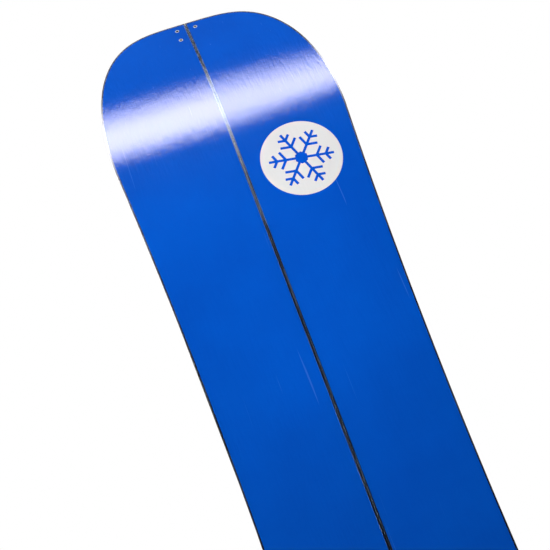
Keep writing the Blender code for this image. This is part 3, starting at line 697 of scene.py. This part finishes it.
def wall_pieces(side, word, body):
    """Black sidewalls and spacers, closed up between the edges and the topsheet."""
    low, high = level(BASE_T + HAIR), deck_minus(TOPSHEET_T + HAIR)
    middle, seam_side = (-WALL_END, WALL_END), SEAM_HALF + WALL_INSET
    outer = slab(f"{word}_sidewall", band(WALL_INSET, WALL_W), low, high, SIDEWALL, side,
                 x_from=WALL_FROM_X, s_range=middle)
    smooth_to_profile(outer)
    use(outer, body, "sidewall", f"{word}_outer_sidewall")
    inner = slab(f"{word}_seam_sidewall", whole(0), low, high, SIDEWALL, side,
                 x_from=seam_side, x_to=SEAM_HALF + SEAM_WALL_W, s_range=middle)
    smooth_to_profile(inner)
    use(inner, body, "sidewall", f"{word}_inner_sidewall")
    for place, reach in (("tip", (WALL_END + HAIR, BEYOND)), ("tail", (-BEYOND, -WALL_END - HAIR))):
        spacer = slab(f"{word}_{place}_fill", whole(WALL_INSET), low, high, SIDEWALL, side,
                      x_from=seam_side, s_range=reach)
        boolean(spacer, rivet_drill(side, 0.1 * MM))
        smooth_to_profile(spacer)
        use(spacer, body, "sidewall", f"{word}_{place}_spacer")


def deck_holes(side):
    """Everything that opens in the topsheet: rivets, hook screws, inserts and rail pockets."""
    holes = []
    for end, x, e in rivet_spots(side):
        holes.append((circle(0, 0, RIVET_R + 0.1 * MM), -PUNCH, PUNCH, end_frame(end, x, e)))
    for s in (HOOK_S, -HOOK_S):
        for at in hook_screw_frames(side, s):
            holes.append((circle(0, 0, SCREW_R + 0.1 * MM), -PUNCH, PUNCH, at))
    for x, s in INSERT_SPOTS:
        at = frame_at(side * x, s, deck_height(s))
        holes.append((circle(0, 0, INSERT_R + 0.05 * MM), -PUNCH, PUNCH, at))
    ease = 0.1 * MM
    pocket = round_rectangle(RAIL_FLANGE_W / 2 + ease, RAIL_LENGTH / 2 + ease, RAIL_CORNER + ease)
    for end in (1, -1):
        holes.append((pocket, -PUNCH, PUNCH, rail_frame(side * RAIL_X, end * RAIL_S)))
    return prisms("deck_holes", holes)


def top_pieces(side, word, body):
    top = slab(f"{word}_top_film", whole(TOP_INSET), deck_minus(TOPSHEET_T), deck_minus(0), TOPSHEET, side,
               x_from=SEAM_HALF + TOP_INSET)
    boolean(top, deck_holes(side))
    round_edges(top, 0.15 * MM, 2, 60)
    smooth_to_profile(top)
    use(top, body, "topsheet", f"{word}_topsheet")


def crystal_outline():
    """A six-armed snow crystal round a hexagonal hub, as one outline."""
    hub, half = CRYSTAL_HUB, CRYSTAL_HALF_W
    arm = [(hub * math.cos(math.pi / 6), -hub * math.sin(math.pi / 6)), (hub * math.cos(math.pi / 6), -half)]
    lean = Vector((math.cos(math.pi / 3), -math.sin(math.pi / 3)))
    side = Vector((math.sin(math.pi / 3), math.cos(math.pi / 3)))
    for start, length in CRYSTAL_TWIGS:
        root = Vector((start, -half))
        arm += [root, root + length * lean, root + length * lean + 2 * half * side]
        arm.append(root + Vector((2 * half / math.sin(math.pi / 3), 0)))
    arm.append((CRYSTAL_REACH, -half))
    arm += [(u, -v) for u, v in reversed(arm[1:])]
    outline = []
    for turn in range(6):
        spin = Matrix.Rotation(math.radians(60 * turn + CRYSTAL_TURN), 2)
        outline += [tuple(spin @ Vector(point)) for point in arm]
    return round_corners(outline, 0.5 * MM, 4)


def disc_pieces(body):
    """The white disc with a plain snow crystal let into it."""
    at = disc_frame()
    disc = prisms("nose_disc", [(circle(0, 0, DISC_R - HAIR / 2, DISC_SEGMENTS), 0, BASE_T, at)], WHITE)
    smooth(disc)
    use(disc, body, "disc", "base_disc")
    crystal = prisms("snow_crystal", [(crystal_outline(), -CRYSTAL_PROUD, BASE_T / 2, at)], INK)
    smooth(crystal)
    use(crystal, body, "base")


# ---------------------------------------------------------------- rails, sliders and inserts

def rail_frame(x, s):
    return frame_at(x, s, deck_height(s) + RAIL_TOP)


def rail_section():
    half, wide = RAIL_W / 2, RAIL_FLANGE_W / 2
    slot, cavity = RAIL_SLOT_W / 2, RAIL_CAVITY_W / 2
    right = [(slot, 0), (wide, 0), (wide, -RAIL_FLANGE_T), (half, -RAIL_FLANGE_T), (half, -RAIL_DEPTH)]
    inside = [(cavity, RAIL_FLOOR - RAIL_DEPTH), (cavity, -RAIL_LIP), (slot, -RAIL_LIP)]
    return right + [(-x, z) for x, z in reversed(right)] + [(-x, z) for x, z in reversed(inside)] + inside


def rail(word, place, side, end, body):
    """An extruded rail with round ends and a wide mouth, and a scale of plain marks beside its slot."""
    s = end * RAIL_S
    at = rail_frame(side * RAIL_X, s)
    half = RAIL_LENGTH / 2
    along = at @ Matrix.Rotation(math.pi / 2, 4, "X")
    piece = prisms(f"{word}_{place}_channel", [(rail_section(), -half, half, along)], ANODISED)
    shape = round_rectangle(RAIL_FLANGE_W / 2, half, RAIL_CORNER)
    boolean(piece, prisms("ends", [(shape, -RAIL_DEPTH - MM, MM, at)]), "INTERSECT")
    mouth_y = math.copysign(half - RAIL_DOOR_LENGTH, s)
    mouth = round_rectangle(RAIL_CAVITY_W / 2, RAIL_DOOR_LENGTH / 2, DOOR_CORNER)
    cut = at @ Matrix.Translation((0, mouth_y, 0))
    boolean(piece, prisms("mouth", [(mouth, -RAIL_LIP * 1.2, 2 * MM, cut)]))
    round_edges(piece, 0.2 * MM, 2, 50)
    smooth(piece)
    use(piece, body, "rail", f"{word}_{place}_rail")

    marks = []
    x = RAIL_SLOT_W / 2 + MARK_OFF_SLOT
    count = int((half - RAIL_DOOR_LENGTH * 1.6) / MARK_SPACING)
    for k in range(-count, count + 1):
        length, y = MARK_LONG if k % 5 == 0 else MARK_SHORT, k * MARK_SPACING
        marks.append((rectangle(x, x + length, y - MARK_HALF_W, y + MARK_HALF_W), 0.0, MARK_T, at))
    scale = prisms(f"{word}_{place}_scale", marks, MARKS)
    use(scale, body, "hardware")


def thread_profile(top, bottom):
    """The (r, z) points of M6 thread ridges down a bore."""
    points, z = [], top
    while z - M6_PITCH >= bottom:
        points += [(M6_R, z), (M6_R - M6_RIDGE, z - M6_PITCH / 2)]
        z -= M6_PITCH
    return points + [(M6_R, z), (M6_R, bottom)]


def slider(word, place, side, end):
    s = end * RAIL_S
    at = rail_frame(side * RAIL_X, s)
    low, high = RAIL_FLOOR - RAIL_DEPTH + GAP, -RAIL_LIP - GAP
    outline = round_rectangle(SLIDER_W / 2, SLIDER_LENGTH / 2, 2.5 * MM)
    bar = prisms(f"{word}_{place}_threaded_bar", [(outline, low, high, at)], ZINC)
    flare, below = 0.4 * MM, low - 0.2 * MM
    profile = [(0, high + MM), (M6_R + flare, high + MM), (M6_R + flare, high)]
    profile += thread_profile(high - flare, below) + [(0, below)]
    for y in SLIDER_HOLES:
        boolean(bar, turned("tap", profile, at @ Matrix.Translation((0, y, 0)), segments=32))
    round_edges(bar, 0.25 * MM, 2, 60)
    smooth(bar)
    use(bar, f"{word}_{place}_slider", "hardware", f"{word}_{place}_slider")


def touring_insert(word, number, x, s, body):
    at = frame_at(x, s, deck_height(s))
    rim, floor = 0.35 * MM, MM - INSERT_H
    profile = [(0, -INSERT_H), (INSERT_R, -INSERT_H), (INSERT_R, -rim), (INSERT_R - rim, 0), (M6_R + rim, 0)]
    profile += thread_profile(-rim, floor) + [(0, floor)]
    plug = turned(f"{word}_insert_{number}", profile, at, STAINLESS)
    smooth(plug, 28)
    use(plug, body, "hardware", f"{word}_touring_insert_{number}")


# ---------------------------------------------------------------- split hooks

def domed(radius, low, high, steps=8, power=0.7):
    """The (r, z) points of a flattened dome from its crown at high down to its rim at low."""
    points = []
    for k in range(steps + 1):
        turn = math.pi / 2 * k / steps
        points.append((radius * math.sin(turn), low + (high - low) * math.cos(turn) ** power))
    return points


def hook_frame(s):
    return frame_at(0, s, deck_height(s))


def hook_screw_frames(side, s):
    return [hook_frame(s) @ Matrix.Translation((side * SCREW_X, y, 0)) for y in (-SCREW_Y, SCREW_Y)]


def tongue_outline(side):
    half = [(-HOOK_BACK, HOOK_HALF_W), (-HOOK_FRONT, HOOK_HALF_W), (-HOOK_FRONT, TONGUE_HALF_W),
            (HOOK_REACH, TONGUE_HALF_W)]
    return [(-side * x, y) for x, y in half + [(x, -y) for x, y in reversed(half)]]


def fork_outline(side):
    inner = TONGUE_HALF_W + GAP
    half = [(-HOOK_BACK, HOOK_HALF_W), (-HOOK_FRONT, HOOK_HALF_W), (-HOOK_FRONT, TONGUE_OUT),
            (HOOK_REACH, TONGUE_OUT), (HOOK_REACH, inner), (-HOOK_FRONT, inner)]
    return [(-side * x, y) for x, y in half + [(x, -y) for x, y in reversed(half)]]


def hook_plate(word, place, side, end, body):
    s = end * HOOK_S
    outline = round_corners(tongue_outline(side) if side == end else fork_outline(side), 1.2 * MM)
    plate = prisms(f"{word}_{place}_hook_plate", [(outline, GAP, GAP + HOOK_T, hook_frame(s))], STAINLESS)
    holes = [(circle(0, 0, SCREW_R + 0.15 * MM, 32), 0, 2 * HOOK_T, at) for at in hook_screw_frames(side, s)]
    boolean(plate, prisms("holes", holes))
    round_edges(plate, 0.3 * MM, 3, 50)
    smooth(plate)
    use(plate, body, "hardware", f"{word}_{place}_hook")


def screw(word, place, number, at, body):
    """A domed screw with a hexagonal socket and a lead-in."""
    low = HOOK_T + GAP + 0.05 * MM
    high = HOOK_T + 2 * GAP + SCREW_HEAD_H
    rim, lead = 0.5 * MM, 0.2 * MM
    profile = domed(SCREW_HEAD_R, low + rim, high, 10, 0.8)
    profile += [(SCREW_HEAD_R, low + lead), (SCREW_HEAD_R - lead, low), (SCREW_R, low),
                (SCREW_R, -SCREW_DEPTH), (0, -SCREW_DEPTH)]
    piece = turned(f"{word}_{place}_screw_{number}", profile, at, STAINLESS)
    socket = prisms("socket", [(circle(0, 0, SOCKET_R, 6), high - SOCKET_DEPTH, high + MM, at)])
    boolean(piece, socket)
    smooth(piece, 40)
    use(piece, body, "hardware", f"{word}_{place}_hook_screw_{number}")


# ---------------------------------------------------------------- tip and tail clips

def capsule(first, last, r_first, r_last, steps=24):
    (x0, y0), (x1, y1) = first, last
    heading = math.atan2(y1 - y0, x1 - x0)
    open_angle = math.acos((r_first - r_last) / math.hypot(x1 - x0, y1 - y0))
    outline = []
    for (x, y), r, start, stop in (
        (first, r_first, heading + open_angle, heading + 2 * math.pi - open_angle),
        (last, r_last, heading - open_angle, heading + open_angle),
    ):
        for k in range(steps + 1):
            turn = start + (stop - start) * k / steps
            outline.append((x + r * math.cos(turn), y + r * math.sin(turn)))
    return outline


def stud_path(steps=24):
    """The stud's way through the clip, from the pivot, as the halves part and the clip turns with them."""
    path = []
    for k in range(steps + 1):
        parted = SLOT_LENGTH * k / steps
        turn = CLIP_TURN * parted / SPLIT_TRAVEL
        x, y = STUD_X - PIVOT_X - parted, STUD_E - PIVOT_E
        path.append((x * math.cos(turn) - y * math.sin(turn), x * math.sin(turn) + y * math.cos(turn)))
    return path


def ribbon(path, half_width, steps=16):
    """A path widened to an outline, with a round end at its start."""
    left, right = [], []
    for k, (x, y) in enumerate(path):
        before, after = path[max(k - 1, 0)], path[min(k + 1, len(path) - 1)]
        along = Vector((after[0] - before[0], after[1] - before[1])).normalized()
        left.append((x - along.y * half_width, y + along.x * half_width))
        right.append((x + along.y * half_width, y - along.x * half_width))
    start = math.atan2(left[0][1] - path[0][1], left[0][0] - path[0][0])
    turns = [start + math.pi * k / steps for k in range(1, steps)]
    x0, y0 = path[0]
    nose = [(x0 + half_width * math.cos(turn), y0 + half_width * math.sin(turn)) for turn in turns]
    return right[::-1] + nose[::-1] + left


def clip(end, place):
    at = end_frame(end, PIVOT_X, PIVOT_E)
    seat = (STUD_X - PIVOT_X, STUD_E - PIVOT_E)
    top = CLIP_LOW + CLIP_T
    outline = capsule((0, 0), seat, CLIP_PIVOT_R, CLIP_SEAT_R)
    plate = prisms(f"{place}_turning_clip", [(outline, CLIP_LOW, top, at)], STAINLESS)
    slot = ribbon(stud_path(), STUD_NECK_R + SLOT_CLEARANCE)
    boolean(plate, prisms("slot", [(slot, CLIP_LOW - MM, top + MM, at)]))
    round_edges(plate, 0.25 * MM, 3, 50)
    collar = prisms("collar", [(circle(0, 0, COLLAR_R, 64), GAP, CLIP_LOW + CLIP_T / 2, at)])
    boolean(plate, collar, "UNION")
    turn = math.atan2(seat[1], seat[0])
    sunk = CLIP_T / 6
    tab_at = at @ Matrix.Rotation(turn, 4, "Z") @ Matrix.Translation((math.hypot(*seat) / 2, -TAB_OUT, 0))
    centre = Matrix.Translation((0, TAB_T / 2, CLIP_LOW + TAB_H / 2 + sunk))
    upright = tab_at @ centre @ Matrix.Rotation(math.pi / 2, 4, "X")
    tab = prisms("tab", [(round_rectangle(TAB_L / 2, TAB_H / 2 - sunk, 2.5 * MM), 0, TAB_T, upright)])
    round_edges(tab, 0.3 * MM, 3, 50)
    boolean(plate, tab, "UNION")
    boolean(plate, prisms("bore", [(circle(0, 0, RIVET_R + 0.15 * MM), 0, top + MM, at)]))
    smooth(plate, 30)
    use(plate, f"{place}_clip", "hardware", f"{place}_clip")


def hollow_foot(foot):
    """The last points of a rivet's profile: a rolled rim round a blind hollow at the base."""
    lip = 0.3 * MM
    return [(RIVET_R, foot + lip), (RIVET_R - lip, foot), (RIVET_BORE_R + lip, foot),
            (RIVET_BORE_R, foot + lip), (RIVET_BORE_R, foot + RIVET_BORE_DEPTH), (0, foot + RIVET_BORE_DEPTH)]


def paint_bore_shade(piece, at):
    """Colours a rivet's hollow near-black: painted shade in the recess."""
    piece.data.materials.append(SHADE)
    inward = at.inverted()
    reach, floor = RIVET_BORE_R + 0.15 * MM, rivet_foot() + RIVET_BORE_DEPTH + 0.1 * MM
    for face in piece.data.polygons:
        x, y, z = inward @ face.center
        if math.hypot(x, y) < reach and z < floor:
            face.material_index = 1


def rivet_foot():
    return 0.03 * MM - deck_height(HALF_LENGTH)


def pivot_rivet(end, place, body):
    low = CLIP_LOW + CLIP_T + 0.05 * MM
    high = CLIP_LOW + CLIP_T + GAP + HEAD_T
    profile = domed(PIVOT_HEAD_R, low + 0.4 * MM, high) + [(PIVOT_HEAD_R, low), (RIVET_R, low)]
    profile += hollow_foot(rivet_foot())
    at = end_frame(end, PIVOT_X, PIVOT_E)
    piece = turned(f"{place}_pivot_rivet", profile, at, RIVET)
    paint_bore_shade(piece, at)
    smooth(piece)
    use(piece, body, "hardware", f"{place}_clip_rivet")


def flush_rivet(end, place, number, e, body):
    high, lead = GAP + RECEIVER_T - 0.1 * MM, 0.2 * MM
    profile = [(0, high), (RIVET_R - lead, high), (RIVET_R, high - lead)] + hollow_foot(rivet_foot())
    at = end_frame(end, STUD_X, e)
    piece = turned(f"{place}_flush_rivet_{number}", profile, at, RIVET)
    paint_bore_shade(piece, at)
    smooth(piece)
    use(piece, body, "hardware", f"{place}_receiver_rivet_{number}")


def receiver(end, place, body):
    at = end_frame(end, STUD_X, STUD_E)
    ends = [e - STUD_E for e in RECEIVER_RIVET_E]
    outline = capsule((0, ends[0]), (0, ends[1]), RECEIVER_END_R, RECEIVER_END_R)
    plate = prisms(f"{place}_receiver_plate", [(outline, GAP, GAP + RECEIVER_T, at)], STAINLESS)
    holes = [(circle(0, e, RIVET_R + 0.1 * MM), 0, 2 * RECEIVER_T, at) for e in ends]
    boolean(plate, prisms("holes", holes))
    round_edges(plate, 0.25 * MM, 2, 50)
    neck_top, foot = CLIP_LOW + CLIP_T + GAP, GAP + RECEIVER_T / 2
    profile = domed(STUD_HEAD_R, neck_top + 0.4 * MM, neck_top + HEAD_T)
    profile += [(STUD_HEAD_R, neck_top), (STUD_NECK_R, neck_top), (STUD_NECK_R, foot), (0, foot)]
    boolean(plate, turned("stud", profile, at), "UNION")
    smooth(plate)
    use(plate, body, "hardware", f"{place}_receiver")


# ---------------------------------------------------------------- assembly

def build_half(side, word):
    body = f"{word}_ski"
    base_pieces(side, word, body)
    wall_pieces(side, word, body)
    top_pieces(side, word, body)
    for end, place in ((1, "tip"), (-1, "tail")):
        rail(word, place, side, end, body)
        slider(word, place, side, end)
        hook_plate(word, place, side, end, body)
        for number, at in enumerate(hook_screw_frames(side, end * HOOK_S), 1):
            screw(word, place, number, at, body)
    for number, (x, s) in enumerate(INSERT_SPOTS, 1):
        touring_insert(word, number, side * x, s, body)
    for layer, look in (("core", POPLAR), ("lower_laminate", LAMINATE), ("upper_laminate", LAMINATE)):
        mesh = NODES[f"{word}_{layer}"].data
        mesh.materials.clear()
        mesh.materials.append(look)


def build_end(end, place):
    """A clip turns on one half, with its receiver on the other; the tail's set is the tip's, turned round."""
    clip_side, receiver_side = ("right_ski", "left_ski") if end == 1 else ("left_ski", "right_ski")
    clip(end, place)
    pivot_rivet(end, place, clip_side)
    receiver(end, place, receiver_side)
    for number, e in enumerate(RECEIVER_RIVET_E, 1):
        flush_rivet(end, place, number, e, receiver_side)


build_half(1, "right")
build_half(-1, "left")
disc_pieces("right_ski")
build_end(1, "tip")
build_end(-1, "tail")


# ---------------------------------------------------------------- studio

def floor():
    """Matt white paper just below the tail."""
    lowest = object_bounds()[0][2]
    bpy.ops.mesh.primitive_plane_add(size=16, location=(0, 0, lowest - 2 * MM))
    plane = bpy.context.object
    plane.name = "studio_floor"
    look = Look("floor_paper", (0.76, 0.76, 0.75), 0.8)
    fibre = look.noise(120, 3, 0.6)
    look.colour(look.mix(look.range(fibre, 0.3, 0.7, 0, 1), (0.78, 0.78, 0.77), (0.74, 0.74, 0.73)))
    plane.data.materials.append(look.material)
    plane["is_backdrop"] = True


def softbox(name, place, aim, width, height, radiance, fade, lift=0.0, colour=(1, 1, 1), layers=6, spread=180,
            shape="RECTANGLE"):
    """A flat light; its layers, each larger and higher than the last, make its reflection fade out."""
    toward = (Vector(place) - Vector(aim)).normalized()
    turn = toward.to_track_quat("Z", "Y")
    upward = turn @ Vector((0, 1, 0))
    for k in range(layers):
        lamp = bpy.data.lights.new(f"{name}_{k}", "AREA")
        lamp.shape, lamp.size, lamp.size_y = shape, width + fade * k / layers, height + fade * k / layers
        area = lamp.size * lamp.size_y * (math.pi / 4 if shape == "ELLIPSE" else 1)
        lamp.energy, lamp.color = radiance * math.pi * area / layers, colour
        lamp.spread = math.radians(spread)
        holder = bpy.data.objects.new(lamp.name, lamp)
        holder.location = Vector(place) - toward * 4 * MM * k + upward * lift * k / layers
        holder.rotation_euler = turn.to_euler()
        holder.visible_camera = False
        bpy.context.scene.collection.objects.link(holder)


def world():
    """White behind the object; for its surfaces, a dim room with a bright patch of ceiling overhead."""
    made = bpy.data.worlds.new("studio")
    bpy.context.scene.world = made
    made.use_nodes = True
    tree = made.node_tree
    tree.nodes.clear()
    output = tree.nodes.new("ShaderNodeOutputWorld")
    path = tree.nodes.new("ShaderNodeLightPath")
    place = tree.nodes.new("ShaderNodeTexCoord")
    split = tree.nodes.new("ShaderNodeSeparateXYZ")
    tree.links.new(place.outputs["Generated"], split.inputs["Vector"])
    total = tree.nodes.new("ShaderNodeMath")
    walls, ceiling = (0.4, 0.95, 0.014, 0.05), (0.965, 0.985, 0.0, 5.5)
    for socket, heights_and_radiances in enumerate((walls, ceiling)):
        rise = tree.nodes.new("ShaderNodeMapRange")
        rise.interpolation_type = "SMOOTHSTEP"
        for name, value in zip(("From Min", "From Max", "To Min", "To Max"), heights_and_radiances):
            rise.inputs[name].default_value = value
        tree.links.new(split.outputs["Z"], rise.inputs["Value"])
        tree.links.new(rise.outputs["Result"], total.inputs[socket])
    room, backdrop = [tree.nodes.new("ShaderNodeBackground") for _ in range(2)]
    room.inputs["Color"].default_value = backdrop.inputs["Color"].default_value = (1, 1, 1, 1)
    blend = tree.nodes.new("ShaderNodeMixShader")
    tree.links.new(total.outputs["Value"], room.inputs["Strength"])
    tree.links.new(path.outputs["Is Camera Ray"], blend.inputs["Fac"])
    tree.links.new(room.outputs["Background"], blend.inputs[1])
    tree.links.new(backdrop.outputs["Background"], blend.inputs[2])
    tree.links.new(blend.outputs["Shader"], output.inputs["Surface"])


def camera():
    """The main view, from in front of the base and a little below the middle."""
    lens = bpy.data.cameras.new("camera")
    lens.lens, lens.sensor_width, lens.clip_start = 66.66, 36, 0.01
    holder = bpy.data.objects.new("camera", lens)
    holder.location = (-0.1479, -1.1193, -0.0486)
    holder.rotation_euler = Euler([math.radians(a) for a in (112.463, 19.404, 0.850)])
    bpy.context.scene.collection.objects.link(holder)
    bpy.context.scene.camera = holder


def studio():
    """A strip whose reflection crosses the nose, two small fills left of the camera, two lights behind."""
    nose = bend(0, 633 * MM, 0)
    toward = Vector((0.01, -0.769, 0.639))
    softbox("key_strip", nose + 1.25 * toward, nose, 1.06, 0.15, 13.7, 0.45, lift=0.06,
            colour=(1.0, 0.945, 1.0), layers=10, shape="ELLIPSE")
    softbox("side_fill", (-1.3, -1.3, 0.4), (0, 0, 0.4), 0.4, 0.4, 2.15, 0.2, layers=2, spread=35)
    softbox("low_fill", (-1.3, -1.3, -0.4), (0, 0, -0.45), 0.4, 0.4, 0.9, 0.2, layers=2, spread=35)
    softbox("rear_left", (-1.5, 2.1, 1.5), (0, 0, 0), 1.3, 1.0, 9, 0.5)
    softbox("rear_right", (1.9, 1.7, 0.4), (0, 0, 0), 0.8, 1.4, 6, 0.4)


floor()
world()
camera()
studio()
bpy.context.scene.view_settings.view_transform = "Standard"
